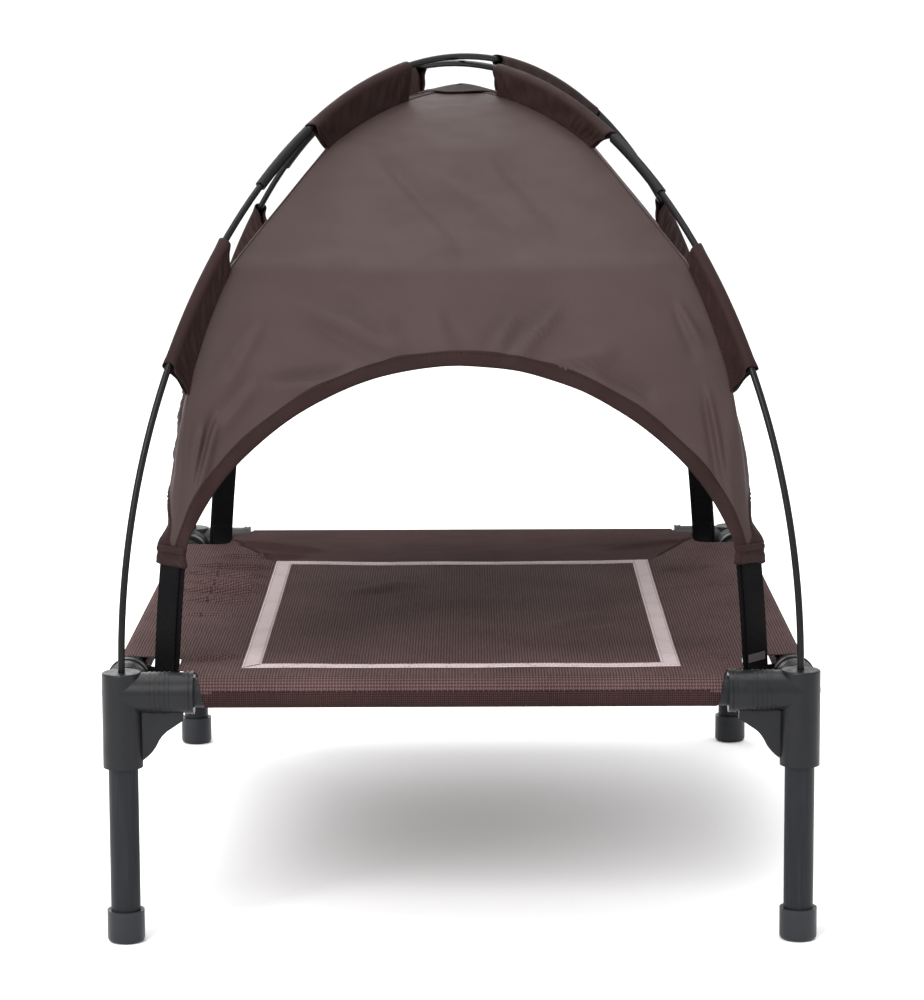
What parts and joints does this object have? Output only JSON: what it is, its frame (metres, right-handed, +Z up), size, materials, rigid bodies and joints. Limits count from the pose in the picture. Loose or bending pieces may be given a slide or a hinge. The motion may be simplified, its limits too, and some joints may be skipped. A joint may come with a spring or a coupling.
{
  "type": "canopy pet bed",
  "caption": "Raised pet bed: mesh deck on a tube frame with corner joints, under an arched cloth canopy hung from crossing bent poles.",
  "frame": {"origin": "on the floor under the middle of the bed", "axes": "+Z up, +Y from the short front side to the rear, +X to the right seen from the front"},
  "size_m": [0.459, 0.612, 0.5587],
  "materials": {
    "black_plastic": "satin moulded plastic",
    "tube": "satin powder coat",
    "pole": "black fibreglass rod",
    "ferrule": "black satin sleeve",
    "canopy_cloth": "taupe woven polyester with a slight sheen",
    "canopy_trim": "dark brown woven tape",
    "deck_mesh": "brown coated open mesh",
    "deck_band": "dark brown coated weave",
    "deck_tape": "pale pink-grey woven tape",
    "webbing": "black woven webbing"
  },
  "bodies": {
    "bed": {"joint_front_left": "black_plastic", "leg_front_left": "tube", "foot_cap_front_left": "black_plastic", "cinch_loop_front_left": "webbing", "joint_front_right": "black_plastic", "leg_front_right": "tube", "foot_cap_front_right": "black_plastic", "cinch_loop_front_right": "webbing", "joint_rear_right": "black_plastic", "leg_rear_right": "tube", "foot_cap_rear_right": "black_plastic", "cinch_loop_rear_right": "webbing", "joint_rear_left": "black_plastic", "leg_rear_left": "tube", "foot_cap_rear_left": "black_plastic", "cinch_loop_rear_left": "webbing", "rail_front": "tube", "rail_rear": "tube", "rail_left": "tube", "rail_right": "tube", "deck_panel": "deck_mesh", "deck_front": "deck_mesh", "deck_left": "deck_mesh", "deck_right": "deck_mesh", "deck_rear": "deck_band", "deck_tape": "deck_tape"},
    "canopy": {"pole_front_left": "pole", "ferrule_front_left": "ferrule", "sleeves_front_left": "canopy_trim", "hem_front_left": "canopy_trim", "strap_front_left": "webbing", "pole_front_right": "pole", "ferrule_front_right": "ferrule", "sleeves_front_right": "canopy_trim", "hem_front_right": "canopy_trim", "strap_front_right": "webbing", "pole_rear_right": "pole", "ferrule_rear_right": "ferrule", "sleeves_rear_right": "canopy_trim", "hem_rear_right": "canopy_trim", "strap_rear_right": "webbing", "pole_rear_left": "pole", "ferrule_rear_left": "ferrule", "sleeves_rear_left": "canopy_trim", "hem_rear_left": "canopy_trim", "strap_rear_left": "webbing", "canopy_front": "canopy_cloth", "binding_front": "canopy_trim", "canopy_rear": "canopy_cloth", "binding_rear": "canopy_trim", "canopy_left": "canopy_cloth", "binding_left": "canopy_trim", "canopy_right": "canopy_cloth", "binding_right": "canopy_trim", "pole_high_middle": "pole", "pole_low_middle": "pole", "crown_patch": "canopy_trim"}
  },
  "joints": [
    {"name": "canopy_lift", "type": "slide", "parent": "bed", "child": "canopy", "axis": [0, 0, 1], "range_m": [0, 0.08]}
  ]
}
